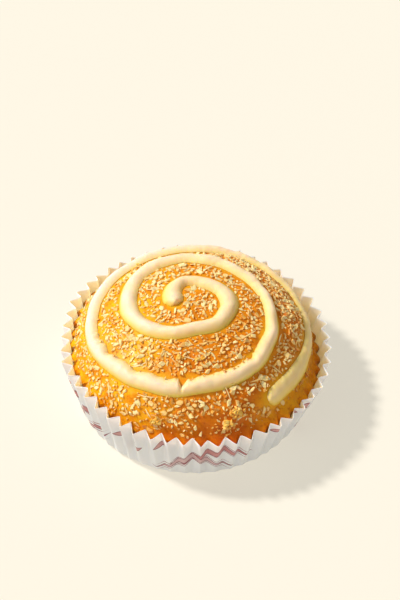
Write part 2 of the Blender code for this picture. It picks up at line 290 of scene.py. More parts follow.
def addPrint(tree, paper):
    # ribbons and leaves as bands about wavy circles on the flat sheet: a band is where the
    # distance from its circle is under a half width, and its outline is the outer part
    p = casePrint

    def plus(first, second):
        return calc(tree, "ADD", first, second)

    def minus(first, second):
        return calc(tree, "SUBTRACT", first, second)

    def times(first, second):
        return calc(tree, "MULTIPLY", first, second)

    plan = addNode(tree, "UVMap", uv_map="paperPlan").outputs[0]
    wobble = addNode(tree, "TexNoise", {"Vector": plan, "Scale": 10.0}).outputs["Fac"]
    axes = addNode(tree, "SeparateXYZ", {0: plan}).outputs
    x = times(minus(axes[0], 0.5), p["planSize"])
    y = times(minus(axes[1], 0.5), p["planSize"])
    turn = calc(tree, "ARCTAN2", y, x)
    radius = calc(tree, "SQRT", plus(times(x, x), times(y, y)))
    radius = plus(radius, times(minus(wobble, 0.5), p["wobble"]))

    def wave(count, phase):
        return calc(tree, "SINE", plus(times(turn, float(count)), phase))

    def away(middle, swing, count, phase):
        path = plus(times(wave(count, phase), swing), middle)
        return calc(tree, "ABSOLUTE", minus(radius, path))

    def inked(distance, halfWidth):
        # 1 where the distance is under the half width
        return spread(tree, minus(halfWidth, distance), 0.0, p["softEdge"])

    def band(colour, distance, halfWidth, fill):
        outline = inked(distance, halfWidth)
        heart = inked(distance, minus(halfWidth, p["lineWidth"]))
        colour = mixColours(tree, outline, colour, rgb(0.27, 0.055, 0.07))
        return mixColours(tree, heart, colour, fill)

    def echo(colour, distance, halfWidth):
        # a thin line on each side of a ribbon, which ends where the ribbon does
        line = calc(tree, "ABSOLUTE", minus(distance, p["echoDistance"]))
        thin = calc(tree, "MINIMUM", times(halfWidth, 0.25), p["echoHalfWidth"])
        return mixColours(tree, inked(line, thin), colour, rgb(0.33, 0.09, 0.10))

    def ribbon(colour, middle, phase, swellPhase, fullness, fill):
        # it comes and goes as its width swells and shrinks
        swell = times(plus(wave(p["swells"], swellPhase), fullness), p["ribbonHalfWidth"])
        path = away(middle, p["ribbonSwing"], p["ribbonWaves"], phase)
        return band(echo(colour, path, swell), path, swell, fill)

    colour = ribbon(paper, p["ribbonMiddle"], 0.4, 1.1, 0.25, rgb(0.60, 0.24, 0.23))
    second = p["ribbonMiddle"] - p["ribbonStep"]
    colour = ribbon(colour, second, 1.9, 1.9, 0.2, rgb(0.70, 0.45, 0.44))
    # leaves are a chain of lens shapes whose width is a sine, in groups with gaps between
    leaf = times(wave(p["leaves"], 0.0), p["leafHalfWidth"])
    leaf = times(leaf, calc(tree, "GREATER_THAN", wave(p["swells"], 4.2), 0.35))
    path = away(p["vineMiddle"], p["vineSwing"], p["vineWaves"], 2.6)
    return band(colour, path, leaf, rgb(0.66, 0.33, 0.31))


def makeCasePaper():
    # thin white baking paper: printed in maroon outside; golden inside, part grease and part painted
    # light for the glow through the paper, with a painted highlight along the rim's top edge
    material, tree, shader, place = startMaterial("bakingPaper", {
        "Roughness": 0.55, "Subsurface Scale": 1.4 * metresPerMm,
        "Subsurface Radius": (1.0, 0.75, 0.5), "Specular IOR Level": 0.25,
    })
    fibres = noiseOf(tree, place, 0.7, 4.0, 0.6)
    white = mixColours(tree, fibres, rgb(0.92, 0.89, 0.86), rgb(0.98, 0.95, 0.92))
    outside = addPrint(tree, white)
    inside = readValue(tree, "inside")
    stains = spread(tree, noiseOf(tree, place, 5.0, 3.0, 0.6), 0.35, 0.65)
    # the lining's golden colours are grease stains, brightened as painted light for the glow through the
    # paper
    greaseAndGlow = mixColours(tree, stains, rgb(0.99, 0.64, 0.36), rgb(0.99, 0.69, 0.46))
    # the lining is white where the rim's edge has its painted highlight
    lining = mixColours(tree, readValue(tree, "greaseAndRimHighlight"), white, greaseAndGlow)
    colour = mixColours(tree, inside, outside, lining)
    tree.links.new(colour, shader.inputs["Base Color"])
    soaked = calc(tree, "ADD", calc(tree, "MULTIPLY", inside, 0.55), 0.4)
    tree.links.new(soaked, shader.inputs["Subsurface Weight"])
    addBump(tree, shader, fibres, 0.05, 0.4)
    return material


# Paper case

paperCase = {
    "flutes": 51,
    "firstFold": 0.061,        # azimuth of one outer fold, in radians
    "baseRadius": 41.0,        # to the middle of the folds, at the foot of the wall
    "baseBack": 0.6,           # the base lies this far behind the bun's axis
    "rimRadius": 45.5,
    "rimLeanRight": 1.1,
    "rimOval": 0.6,
    "rimHeight": 24.7,
    "rimDropRight": 2.9,
    "rimDropFront": 0.7,
    "rimDent": 2.2,            # the rim is pressed down this far at the back, on the left
    "dentAzimuth": -2.6,       # in radians
    "dentTightness": 12.0,     # larger makes the dent narrower
    "dip": 0.7,                # and this far over the first folds, in front
    "dipAzimuth": 0.05,
    "dipWidth": 0.15,          # in radians
    "foldTipRise": 0.25,       # inner folds stand this far above the rim, outer ones below
    "baseCorner": 1.4,
    "cornerRows": 4,
    "thickness": 0.14,
    "columnsPerFold": 7,
    "wallRows": 40,
    "foldSharpness": 0.985,    # 1 is a knife-sharp crease
    "outerSharpness": 0.90,    # outer folds are rounder than inner ones
    "footSharpness": 0.80,
    "unevenSpacing": 0.13,     # share of a fold's width
    "unevenDepth": 0.10,       # share of a fold's depth
    "unevenHeight": 0.22,
    "wander": 0.25,            # how far the wall bows in and out
    "seed": 5,
}


def rimHeight(azimuth):
    # the rim slopes down to the right and a little to the front, and has one dent
    p = paperCase
    drop = p["rimDropRight"] * np.sin(azimuth) + p["rimDropFront"] * np.cos(azimuth)
    dent = p["rimDent"] * np.exp(p["dentTightness"] * (np.cos(azimuth - p["dentAzimuth"]) - 1.0))
    return p["rimHeight"] - drop - dent


def baseRadius(azimuth):
    # a circle whose middle lies a little behind the axis
    return paperCase["baseRadius"] - paperCase["baseBack"] * np.cos(azimuth)


def rimRadius(azimuth):
    # a circle that leans to the right and is drawn out sideways
    lean = paperCase["rimLeanRight"] * np.sin(azimuth)
    return paperCase["rimRadius"] + lean - paperCase["rimOval"] * np.cos(2.0 * azimuth)


def wallRadius(azimuth, share):
    # straight from the base to the rim, to the middle of the folds
    base = baseRadius(azimuth)
    return base + (rimRadius(azimuth) - base) * share


def foldDepth(azimuth, share):
    # a flat disc of paper is pleated into the wall, so the folds take up the difference
    # between the paper's own circumference and the wall's, at each height
    base = baseRadius(azimuth)
    slant = np.hypot(rimHeight(azimuth), rimRadius(azimuth) - base)
    radius = wallRadius(azimuth, share)
    excess = ((base + slant * share) / radius) ** 2 - 1.0
    return np.pi * radius / paperCase["flutes"] * np.sqrt(np.maximum(0.0, excess))


def foldWave(phase, sharpness):
    # 1 at an outer fold and -1 at an inner one: an arcsine that turns a cosine into a zigzag
    return np.arcsin(sharpness * np.cos(phase)) / np.arcsin(sharpness)


def caseWall():
    # the outer face of the wall: its radius is the middle of the folds plus half their depth
    # times the zigzag, and its height is a share of the rim's
    p = paperCase
    draw = np.random.default_rng(p["seed"])
    folds = 2 * p["flutes"]
    perFold = p["columnsPerFold"]
    column = np.arange(folds * perFold) / perFold  # in folds, even ones are outer
    line = np.arange(folds + 1)

    def uneven(amount):  # one value for each fold, joined by straight lines
        each = draw.normal(0.0, amount, folds)
        return np.interp(column, line, np.append(each, each[0]))

    azimuth = p["firstFold"] + (column + uneven(p["unevenSpacing"])) * fullTurn / folds
    deep = 1.0 + uneven(p["unevenDepth"])
    tall = uneven(p["unevenHeight"])
    foot = p["baseCorner"] / p["rimHeight"]
    share = foot + (1.0 - foot) * np.linspace(0.0, 1.0, p["wallRows"])[:, None]
    rimSharp = np.where(np.cos(np.pi * column) > 0.0, p["outerSharpness"], p["foldSharpness"])
    sharp = p["footSharpness"] + (rimSharp - p["footSharpness"]) * share
    wave = foldWave(np.pi * column, sharp)
    bow = p["wander"] * softNoise(around(40.0, azimuth, 0.0), 26.0, 7)
    depth = foldDepth(azimuth, share) * deep
    radius = wallRadius(azimuth, share) + 0.5 * wave * depth + bow * share**2
    height = share * (rimHeight(azimuth) + tall - wave * p["foldTipRise"])
    height = height - np.exp(-((azimuth - p["dipAzimuth"]) / p["dipWidth"]) ** 2) * p["dip"] * share
    return {"column": column, "azimuth": azimuth, "share": share, "radius": radius,
            "height": height, "footDepth": wave[0] * depth[0]}


def readWall(wall, azimuth, share):
    # the wall's radius at each azimuth, and at a share of its height
    rows = [np.interp(azimuth, wall["azimuth"], row, period=fullTurn) for row in wall["radius"]]
    rows = np.stack(rows)
    first, last = wall["share"][0], wall["share"][-1]
    spot = np.clip((share - first) / (last - first), 0.0, 0.999999) * (len(rows) - 1)
    i = spot.astype(int)
    column = np.arange(len(azimuth))[None, :]
    return rows[i, column] + (rows[i + 1, column] - rows[i, column]) * (spot - i)


def makePaperCase(material, wall):
    # the paper's two faces are one sheet thickness apart, with a plain disc as the base
    p = paperCase
    column, azimuth, share = wall["column"], wall["azimuth"], wall["share"]
    radius, height = wall["radius"], wall["height"]
    folds = 2 * p["flutes"]
    foot = share[0, 0]
    outer = around(radius, azimuth, height)
    # the corner at the foot, and the base
    turnIn = np.linspace(0.0, 1.0, p["cornerRows"] + 1)[:-1, None]
    cornerRadius = baseRadius(azimuth) - p["baseCorner"] * (1.0 - np.sin(turnIn * np.pi / 2))
    cornerHeight = p["baseCorner"] * (1.0 - np.cos(turnIn * np.pi / 2))
    cornerRadius = cornerRadius + 0.5 * wall["footDepth"] * turnIn**2
    corner = around(cornerRadius, azimuth, cornerHeight)
    outer = np.concatenate([corner, outer])
    # the inner face, moved in along the wall's own normal
    alongRow = np.roll(outer, -1, axis=1) - np.roll(outer, 1, axis=1)
    upRow = np.gradient(outer, axis=0)
    normal = np.cross(alongRow, upRow)
    normal /= np.linalg.norm(normal, axis=-1, keepdims=True)
    inner = outer - normal * p["thickness"]
    inner[..., 2] = np.maximum(inner[..., 2], p["thickness"])
    points, faces = closedGrid(np.concatenate([outer, inner[::-1]]))
    # the print's plan: each row of the wall is a ring of the sheet before it was pleated
    rows = len(outer)
    slant = np.hypot(rimHeight(azimuth), rimRadius(azimuth) - baseRadius(azimuth))
    rowShare = np.concatenate([turnIn * foot, share])
    flatRadius = baseRadius(azimuth) + slant * rowShare
    flatTurn = column * fullTurn / folds
    plan = np.stack([flatRadius * np.cos(flatTurn), flatRadius * np.sin(flatTurn)], axis=-1)
    plan = np.concatenate([plan, plan[::-1]]).reshape(-1, 2)
    plan = np.concatenate([plan, np.zeros((2, 2))]) / casePrint["planSize"] + 0.5
    insideRow = np.concatenate([np.zeros(rows), np.ones(rows)])[:, None] * np.ones(len(column))
    # the paper is greasy but for its upper edge, which is drier; its very top is whiter still, a painted
    # highlight along the rim's edge
    dryEdgeAndRimHighlight = 0.25 * smoothStep(rowShare, 0.75, 0.96) + 0.6 * smoothStep(rowShare, 0.965, 1.0)
    greaseAndRimHighlightRow = 1.0 - dryEdgeAndRimHighlight * np.ones(len(column))
    greaseAndRimHighlightRow = np.concatenate([greaseAndRimHighlightRow, greaseAndRimHighlightRow[::-1]])
    values = {"inside": np.append(insideRow.ravel(), [0.0, 1.0]),
              "greaseAndRimHighlight": np.append(greaseAndRimHighlightRow.ravel(), [1.0, 1.0])}
    return putMesh("paperCase", points, faces, material, values, uv=plan)


# Bun

crust = {
    "sideGap": 0.45,           # between the dough and the case's inner folds
    "fluteFill": 0.68,         # share of a flute's depth that the dough swells into
    "paperGap": 0.60,          # least gap to the paper's outer face, along the radius
    "bottom": 0.45,
    "bottomCorner": 2.0,
    "bottomInset": 1.2,        # the flat underside ends this far inside the corner
    "contactHeight": 17.0,     # where the dough leaves the case at the back and the right
    "contactRise": 4.6,        # the dough fills the case this much higher where it is fullest
    "contactRiseLeft": 6.5,    # and this much higher at the left
    "fullestAzimuth": 0.25,    # in radians
    "frontSpan": (0.25, 0.9),  # the front's share sets in between these cosines
    "leftSpan": (0.4, 0.9),    # and the left's between these sines
    "leaving": 2.4,            # it starts to leave this far below, and is off as far above
    "shoulderHeight": 18.5,    # where the dome is widest
    "shoulderRadius": 42.0,
    "height": 44.0,
    "fullness": 2.1,           # 2 is an ellipsoid, and more is a fuller shoulder
    "columns": 612,
    "bottomRows": 5,
    "sideRows": 22,
    "domeRows": 120,
    "swells": 0.28,            # height of the skin's shallow swells
    "dimples": 0.22,           # and of its smaller dimples
    "skinFrom": (21.0, 27.0),  # heights between which that relief sets in
    "skinBesideBead": 2.5,     # and it fades out this close to the custard
    "smearReach": 1.0,         # how far custard has soaked into the glaze
    "smearAbove": 24.0,        # and the height where it does so in full
    # painted light: yellower glaze leftwards of the axis, where the key falls, and a painted lift of the
    # shade low on the right
    "paintedLightLeft": (-4.0, 26.0),
    "paintedLightRight": (14.0, 32.0),
    "paintedLightRightBelow": (27.0, 35.0),
    "paintedLightRightShare": 0.7,
    "paintedLightTopFrom": 27.0,           # height where the top's painted light sets in
    "shadedBelow": (12.0, 18.0),  # heights of the darker side, inside the case
}


def domeHeight(radius):
    # a superellipse from the shoulder to the top
    share = np.minimum(1.0, radius / crust["shoulderRadius"])
    rise = (1.0 - share ** crust["fullness"]) ** (1.0 / crust["fullness"])
    return crust["shoulderHeight"] + (crust["height"] - crust["shoulderHeight"]) * rise


def domeNormal(points):
    # the gradient of the superellipse's equation
    radius = np.maximum(1e-6, np.hypot(points[..., 0], points[..., 1]))
    cap = crust["height"] - crust["shoulderHeight"]
    power = crust["fullness"] - 1.0
    across = (radius / crust["shoulderRadius"]) ** power / crust["shoulderRadius"]
    up = (np.maximum(0.0, points[..., 2] - crust["shoulderHeight"]) / cap) ** power / cap
    normal = np.stack([across * points[..., 0] / radius, across * points[..., 1] / radius, up], axis=-1)
    return normal / np.linalg.norm(normal, axis=-1, keepdims=True)


def onDome(radius, azimuth):
    # points of the smooth dome
    return around(radius, azimuth, domeHeight(radius))


def skinRelief(points):
    # shallow swells and smaller dimples of the baked skin, outwards in millimetres
    swell = crust["swells"] * softNoise(points, 17.0, 21)
    return swell + crust["dimples"] * softNoise(points, 4.5, 22)


def makeCrust(material, bead, wall):
    # rings from the middle of the underside, up the side that fills the flutes and over the
    # dome, whose skin is moved along its normal by the relief
    c = crust
    azimuth = np.arange(c["columns"]) * fullTurn / c["columns"]
    fold = (azimuth - paperCase["firstFold"]) * paperCase["flutes"]
    wave = 0.5 + 0.5 * np.cos(fold)
    bottomShare = np.linspace(0.12, 1.0, c["bottomRows"] + 1)[:-1, None]
    edge = baseRadius(azimuth) - c["bottomCorner"] - c["bottomInset"]
    rings = [around(edge * bottomShare, azimuth, c["bottom"] + 0.0 * bottomShare)]
    turnIn = np.linspace(0.0, 1.0, c["bottomRows"] + 1)[:-1, None]
    sideHeight = np.linspace(c["bottom"] + c["bottomCorner"], c["shoulderHeight"], c["sideRows"])[:, None]
    frontShare = smoothStep(np.cos(azimuth - c["fullestAzimuth"]), *c["frontSpan"])
    leftShare = smoothStep(-np.sin(azimuth), *c["leftSpan"]) * (1.0 - frontShare)

    def besideCase(radius, height):
        # the dough's radius against the folds, up to where it leaves the case
        share = height / rimHeight(azimuth)
        depth = foldDepth(azimuth, np.minimum(share, 1.0))
        side = wallRadius(azimuth, share) - 0.5 * depth - c["sideGap"]
        side = side + c["fluteFill"] * depth * wave
        side = np.minimum(side, readWall(wall, azimuth, share) - c["paperGap"])
        leave = c["contactHeight"] + c["contactRise"] * frontShare + c["contactRiseLeft"] * leftShare
        touching = 1.0 - smoothStep(height, leave - c["leaving"], leave + c["leaving"])
        return radius + (side - radius) * touching

    def sideRadius(height):
        return besideCase(c["shoulderRadius"], height)

    foot = sideRadius(sideHeight[:1])
    rounded = foot - c["bottomCorner"] * (1.0 - np.sin(turnIn * np.pi / 2))
    risen = c["bottom"] + c["bottomCorner"] * (1.0 - np.cos(turnIn * np.pi / 2))
    rings.append(around(rounded, azimuth, risen))
    rings.append(around(sideRadius(sideHeight), azimuth, sideHeight))
    tilt = np.linspace(0.5 * np.pi, 0.006, c["domeRows"])[:, None]
    domeRadius = c["shoulderRadius"] * np.sin(tilt) ** (2.0 / c["fullness"]) + 0.0 * azimuth
    dome = onDome(domeRadius, azimuth)
    normal = domeNormal(dome)
    fuller = np.maximum(besideCase(domeRadius, dome[..., 2]), domeRadius)
    dome = around(fuller, azimuth, dome[..., 2])
    relief = skinRelief(dome) * smoothStep(dome[..., 2], *c["skinFrom"])
    beside = smoothStep(beadClearance(dome.reshape(-1, 3), bead), 0.0, c["skinBesideBead"])
    relief = relief * beside.reshape(relief.shape)
    dome = dome + normal * relief[..., None]
    rings.append(dome)
    points, faces = closedGrid(np.concatenate(rings))
    # shares that the glaze reads: a smear beside the custard; the yellower stretches and the top,
    # which are painted light, and the side inside the case, which is painted shade
    x, height = points[:, 0], points[:, 2]
    clearance = beadClearance(points, bead)
    above = smoothStep(height, c["shoulderHeight"], c["smearAbove"])
    patchy = 0.75 + 0.5 * softNoise(points, 6.0, 31)
    smear = np.exp(-np.maximum(clearance, 0.0) / c["smearReach"]) * np.clip(patchy, 0.0, 1.0) * above
    paintedLightLeft = smoothStep(-x + 3.0 * softNoise(points, 12.0, 33), *c["paintedLightLeft"])
    paintedLiftLowRight = c["paintedLightRightShare"] * smoothStep(x, *c["paintedLightRight"])
    paintedLiftLowRight = paintedLiftLowRight * (1.0 - smoothStep(height, *c["paintedLightRightBelow"]))
    values = {
        "smear": smear,
        "paintedLightSide": np.maximum(paintedLightLeft, paintedLiftLowRight),
        "paintedLightTop": smoothStep(height, c["paintedLightTopFrom"], c["height"]),
        "paintedShadeBelowRim": 1.0 - smoothStep(height, *c["shadedBelow"]),
    }
    return putMesh("crust", points, faces, material, values)


# Piped custard

custardBead = {
    "middle": (-1.5, 0.6),     # of the spiral, beside the bun's axis
    "startAzimuth": np.radians(-85.0),
    "firstTurn": -0.05,
    "lastTurn": 2.65,
    "radii": [5.0, 7.2, 9.5, 10.9, 13.6, 13.7, 12.3, 16.0, 20.2, 22.9, 23.4,
              23.7, 27.3, 30.8, 31.4, 32.2, 33.6, 32.3, 32.0, 36.6, 41.4, 40.7],
    "radiiStep": 0.125,        # in turns
    "widths": [6.9, 6.2, 4.9, 5.6, 6.2, 5.5, 5.0, 5.2, 6.0, 6.0, 6.0,
               5.6, 4.6, 5.4, 6.0, 6.0, 5.8, 6.0, 6.0, 5.2, 5.2, 6.8],
    "widthsStep": 0.125,
    "height": 2.15,
    "tailLoss": 0.45,          # share of that height that the bead loses at its outer end
    "tailTurns": (2.3, 2.55),
    "fullWidth": 5.0,          # a narrower bead is also lower
    "endShare": 0.30,          # of the width, left at the very end
    "stations": 1000,
    "sides": 32,
    "flankPower": 1.6,         # 1 is an ellipse, and 2 a parabola with gentle flanks
    "lean": 0.05,              # share of the half width by which the crown leans inwards
    "sunk": 0.25,              # into the glaze
    "footWidth": 0.35,         # thin edge beyond the bead's sides
    "innerFootWidth": 0.3,     # its share on the inner side
    "widthUneven": 0.05,       # share of the width
    "heightUneven": 0.09,
    "drift": 0.25,             # how far the bead strays from its path
    "lumps": 0.08,
    "nickTurn": 1.776,         # where a V is cut from the inner edge
    "nickDepth": 0.48,         # share of the width
    "nickBefore": 2.3,         # length of its long flank, along the bead
    "nickAfter": 1.0,          # and of its steep flank
    "crease": 0.22,            # share of the height that is lost in line with the nick
    "creaseLength": 0.4,
    "tornFrom": 1.62,          # the inner edge is torn between these turns
    "tornTo": 1.99,
    "tornDepth": 0.55,
    "tornLength": 4.64,        # size of its bites, along the bead
    "smallBites": 0.10,        # these run all along
    "litPaleTurns": (2.1, 1.05),  # painted light: the custard is palest at these turns, on the left, where the key falls
    "litPaleShares": (1.0, 0.5),
    "litPaleSpread": 0.2,         # in turns
    "footRise": 2.3,           # height over which the foot's yellow, part thin custard and part painted shade, fades out
    "innerFoot": 0.7,          # its share on the inner side
}


def smoothRead(values, step, place):
    # a Catmull-Rom curve through values that lie a step apart
    values = np.asarray(values)
    spot = np.clip(place / step, 0.0, len(values) - 1.000001)
    i = spot.astype(int)
    t = spot - i
    before, here = values[np.maximum(i - 1, 0)], values[i]
    there, after = values[i + 1], values[np.minimum(i + 2, len(values) - 1)]
    bend = 2.0 * before - 5.0 * here + 4.0 * there - after
    twist = 3.0 * (here - there) + after - before
    return 0.5 * (2.0 * here + (there - before) * t + bend * t * t + twist * t**3)


def beadPath():
    # a spiral whose radius is read from the list, evenly spaced along its length
    b = custardBead

    def centre(turns):
        radius = smoothRead(b["radii"], b["radiiStep"], turns)
        flat = around(radius, b["startAzimuth"] - fullTurn * turns, 0.0)[..., :2] + np.array(b["middle"])
        height = domeHeight(np.hypot(flat[..., 0], flat[..., 1]))
        return np.concatenate([flat, height[..., None]], axis=-1)

    fine = np.linspace(b["firstTurn"], b["lastTurn"], 4000)
    run = np.append(0.0, np.cumsum(np.linalg.norm(np.diff(centre(fine), axis=0), axis=1)))
    along = np.linspace(0.0, run[-1], b["stations"])
    turns = np.interp(along, run, fine)
    points = centre(turns)
    ahead = centre(turns + 0.004) - centre(turns - 0.004)
    normal = domeNormal(points)
    across = np.cross(ahead, normal)
    across /= np.linalg.norm(across, axis=1, keepdims=True)
    width = smoothRead(b["widths"], b["widthsStep"], turns)
    fromEnd = np.minimum(along, run[-1] - along) / (0.5 * width)
    rounding = np.sqrt(np.maximum(b["endShare"] ** 2, 1.0 - np.maximum(0.0, 1.0 - fromEnd) ** 2))
    width = width * rounding
    height = b["height"] * np.minimum(1.0, 0.5 * (1.0 + width / b["fullWidth"]))
    height = height * (1.0 - b["tailLoss"] * smoothStep(turns, *b["tailTurns"]))
    # a V from the inner edge, and a torn stretch of that edge on both sides of it
    past = along - np.interp(b["nickTurn"], turns, along)
    flank = np.where(past < 0.0, b["nickBefore"], b["nickAfter"])
    nick = np.clip(1.0 - np.abs(past) / flank, 0.0, 1.0)
    torn = smoothStep(turns, b["tornFrom"] - 0.02, b["tornFrom"] + 0.02)
    torn = torn * (1.0 - smoothStep(turns, b["tornTo"] - 0.02, b["tornTo"] + 0.02))
    line = around(along, 0.0, 0.0)
    bites = np.abs(softNoise(line, b["tornLength"], 45)) * b["tornDepth"] * torn
    bites = bites + b["smallBites"] * np.abs(softNoise(line, 2.6, 46))
    inner = 0.5 * width * (1.0 - 2.0 * b["nickDepth"] * nick) - bites
    height = height * (1.0 - b["crease"] * np.exp(-(past / b["creaseLength"]) ** 2)) * (1.0 - 0.2 * nick)
    return {"points": points, "across": across, "normal": normal, "width": width,
            "height": height, "inner": inner, "turns": turns}


def beadClearance(points, bead):
    # distance from each point to the bead's edge, negative under it
    nearest = np.full(len(points), 1e9)
    half = 0.5 * bead["width"]
    batch = 20000  # points at a time, to spare memory
    for first in range(0, len(points), batch):
        part = points[first:first + batch]
        square = (part**2).sum(1)[:, None] + (bead["points"] ** 2).sum(1)[None, :]
        square = square - 2.0 * part @ bead["points"].T
        gap = np.sqrt(np.maximum(square, 0.0)) - half
        nearest[first:first + batch] = gap.min(axis=1)
    return nearest


def makeCustard(material, bead):
    # a rounded section carried along the spiral: across is a cosine, and up is a sine raised
    # to a power, with a thin foot that runs out over the glaze, mostly outwards
    b = custardBead
    angle = np.arange(b["sides"]) * fullTurn / b["sides"]
    side, up = np.cos(angle), np.sin(angle)
    uneven = 1.0 + b["widthUneven"] * softNoise(bead["points"], 13.0, 41)
    lumpy = 1.0 + b["heightUneven"] * softNoise(bead["points"], 9.0, 42)
    drift = b["drift"] * softNoise(bead["points"], 11.0, 43)
    outerHalf = (0.5 * bead["width"] * uneven)[:, None]
    innerHalf = (bead["inner"] * uneven)[:, None]
    tall = (bead["height"] * lumpy)[:, None]
    spreadOut = 0.5 * (innerHalf - outerHalf) + 0.5 * (innerHalf + outerHalf) * side
    runOut = b["footWidth"] * np.exp(-(np.maximum(up, 0.0) / 0.2) ** 2)
    spreadOut = spreadOut + side * runOut * np.where(side > 0.0, b["innerFootWidth"], 1.0)
    lean = b["lean"] * outerHalf * np.maximum(up, 0.0) ** 2
    rise = np.where(up > 0.0, np.abs(up) ** b["flankPower"] * tall, -b["sunk"] * np.abs(up))
    shift = spreadOut + lean + drift[:, None]
    points = (bead["points"][:, None, :] + bead["across"][:, None, :] * shift[..., None]
              + bead["normal"][:, None, :] * (rise + 0.02)[..., None])
    wobble = b["lumps"] * softNoise(points, 3.2, 44)
    points = points + bead["normal"][:, None, :] * (wobble * np.maximum(up, 0.0))[..., None]
    # the foot's share: thin custard at the edge, and painted shade on the flanks
    foot = np.clip(1.0 - rise / b["footRise"], 0.0, 1.0) * np.where(side > 0.0, b["innerFoot"], 1.0)
    # painted light on the turns that pass the left, where the key falls
    away = (bead["turns"][:, None] - np.array(b["litPaleTurns"])) / b["litPaleSpread"]
    pale = (np.exp(-away**2) * b["litPaleShares"]).sum(axis=1)[:, None] + 0.0 * side
    allPoints, faces = closedGrid(points)
    values = {"foot": np.append(foot.ravel(), [0.5, 0.5]),
              "pale": np.append(pale.ravel(), [0.0, 0.0])}
    return putMesh("custardBead", allPoints, faces, material, values)


# Coconut

coconut = {
    "seed": 17,
    "sides": 7,                # corners of each flake and crumb
    "shortness": 1.6,          # larger makes more of them short
    "topScale": (0.82, 0.78),  # their upper side against their lower one
    "denseCover": 0.92,
    "sparseCover": 0.40,
    "sparseFrom": 34.0,        # radius where the cover begins to thin out
    "sparseTo": 38.5,
    "lowest": 20.6,            # nothing lies below this height
    "patchiness": 0.18,        # how far the cover varies
    "evenFrom": 4.0,           # places are even where the skin faces up this many times its least
    "shadedSideAcross": (-8.0, 28.0),  # between these, rightwards and forwards,
    "paintedShadeRise": 0.42,         # pieces grow this much warmer and darker: painted shade on the side away from the key
    "toastDrop": 0.30,         # and all of them are this much paler
    # azimuth in degrees, radius and size of patches with no coconut
    "barePatches": [(59, 26.4, 4.0), (-100, 28.9, 3.0), (-119, 37.1, 4.0), (75, 29.7, 4.0),
                    (35, 38.2, 4.5), (-34, 36.3, 3.0), (154, 5.4, 1.6), (6, 39.6, 3.5),
                    (150, 37.0, 4.0), (-160, 35.0, 3.5)],
}

flakes = {
    "tries": 22000,
    "spacing": 1.20,
    "beadGap": 0.5,            # least gap to the custard
    "coverPower": 1.0,         # under 1 spreads them more evenly
    "length": (1.1, 3.2),
    "width": (0.38, 0.82),     # share of its length
    "thickness": (0.35, 0.7),
    "tilt": 0.34,              # how unevenly they lie
    "sink": 0.22,              # into the glaze
    "toast": 0.0,              # added to their tone
}

crumbs = {
    "tries": 12000,
    "spacing": 1.5,
    "beadGap": 0.2,
    "coverPower": 1.0,
    "length": (0.5, 1.2),
    "width": (0.45, 0.9),
    "thickness": (0.3, 0.6),
    "tilt": 0.35,
    "sink": 0.12,
    "toast": 0.1,
    "onCustard": 26,           # crumbs that stick to the custard's torn inner edge
}

threads = {
    "tries": 420,
    "spacing": 5.0,
    "beadGap": 0.8,
    "coverPower": 0.5,
    "length": (2.4, 6.0),
    "width": (0.18, 0.32),
    "tilt": 0.06,
    "stations": 5,
}

goldenCrumbs = {
    "length": (1.1, 2.4),
    "width": (0.6, 0.95),
    "thickness": (0.7, 1.3),
    "tilt": 0.4,
    "sink": 0.2,
    "toast": 0.0,
    "stretch": (1.6, 0.6),     # of a heap, along the azimuth and across it
    "rise": 0.5,               # of a heap's middle
    # azimuth in degrees, radius, number of crumbs and how far they spread
    "heaps": [(21, 38.7, 24, 1.6), (16, 40.3, 9, 1.1), (-18, 40.1, 9, 1.0), (-12, 22.8, 6, 0.7),
              (5, 22.8, 7, 0.8), (24, 31.0, 4, 0.8), (141, 38.0, 12, 1.5), (-139, 30.0, 5, 0.9)],
}


def thinOut(points, spacing):
    # keeps points in order, dropping each that lies closer than the spacing to a kept one
    square = (points**2).sum(1)[:, None] + (points**2).sum(1)[None, :] - 2.0 * points @ points.T
    close = square < spacing * spacing
    earlier = np.tril(close, -1)
    kept = np.zeros(len(points), bool)
    undecided = np.ones(len(points), bool)
    while undecided.any():
        first = undecided & ~(earlier & undecided[None, :]).any(axis=1)
        kept |= first
        undecided &= ~first
        undecided &= ~(close[:, first].any(axis=1))
    return kept


def coverShare(points, clearance):
    # the chance that coconut lies at each point
    c = coconut
    radius = np.hypot(points[:, 0], points[:, 1])
    outer = smoothStep(radius, c["sparseFrom"], c["sparseTo"])
    cover = c["denseCover"] + (c["sparseCover"] - c["denseCover"]) * outer
    cover = cover + c["patchiness"] * softNoise(points, 8.0, 51)
    degrees, patchRadius, size = np.array(c["barePatches"], float).T
    middles = onDome(patchRadius, np.radians(degrees))
    away = np.linalg.norm(points[:, None, :] - middles[None], axis=2) / size
    cover = cover * smoothStep(away, 0.5, 1.1).min(axis=1)
    return cover * smoothStep(clearance, 0.1, 1.2)


def scatter(draw, kind, bead):
    # random places on the dome, thinned by its slope, by the cover and by their spacing
    c = coconut
    tries = kind["tries"]
    radius = crust["shoulderRadius"] * np.sqrt(draw.uniform(0.0, 0.985, tries))
    points = onDome(radius, draw.uniform(0.0, fullTurn, tries))
    normal = domeNormal(points)
    even = draw.uniform(0.0, 1.0, tries) < normal[:, 2].min() / normal[:, 2] * c["evenFrom"]
    cover = coverShare(points, beadClearance(points, bead) - kind["beadGap"])
    keep = draw.uniform(0.0, 1.0, tries) < cover ** kind["coverPower"]
    keep &= even & (points[:, 2] > c["lowest"])
    points = points[keep]
    points = points[thinOut(points, kind["spacing"])]
    return points, domeNormal(points)


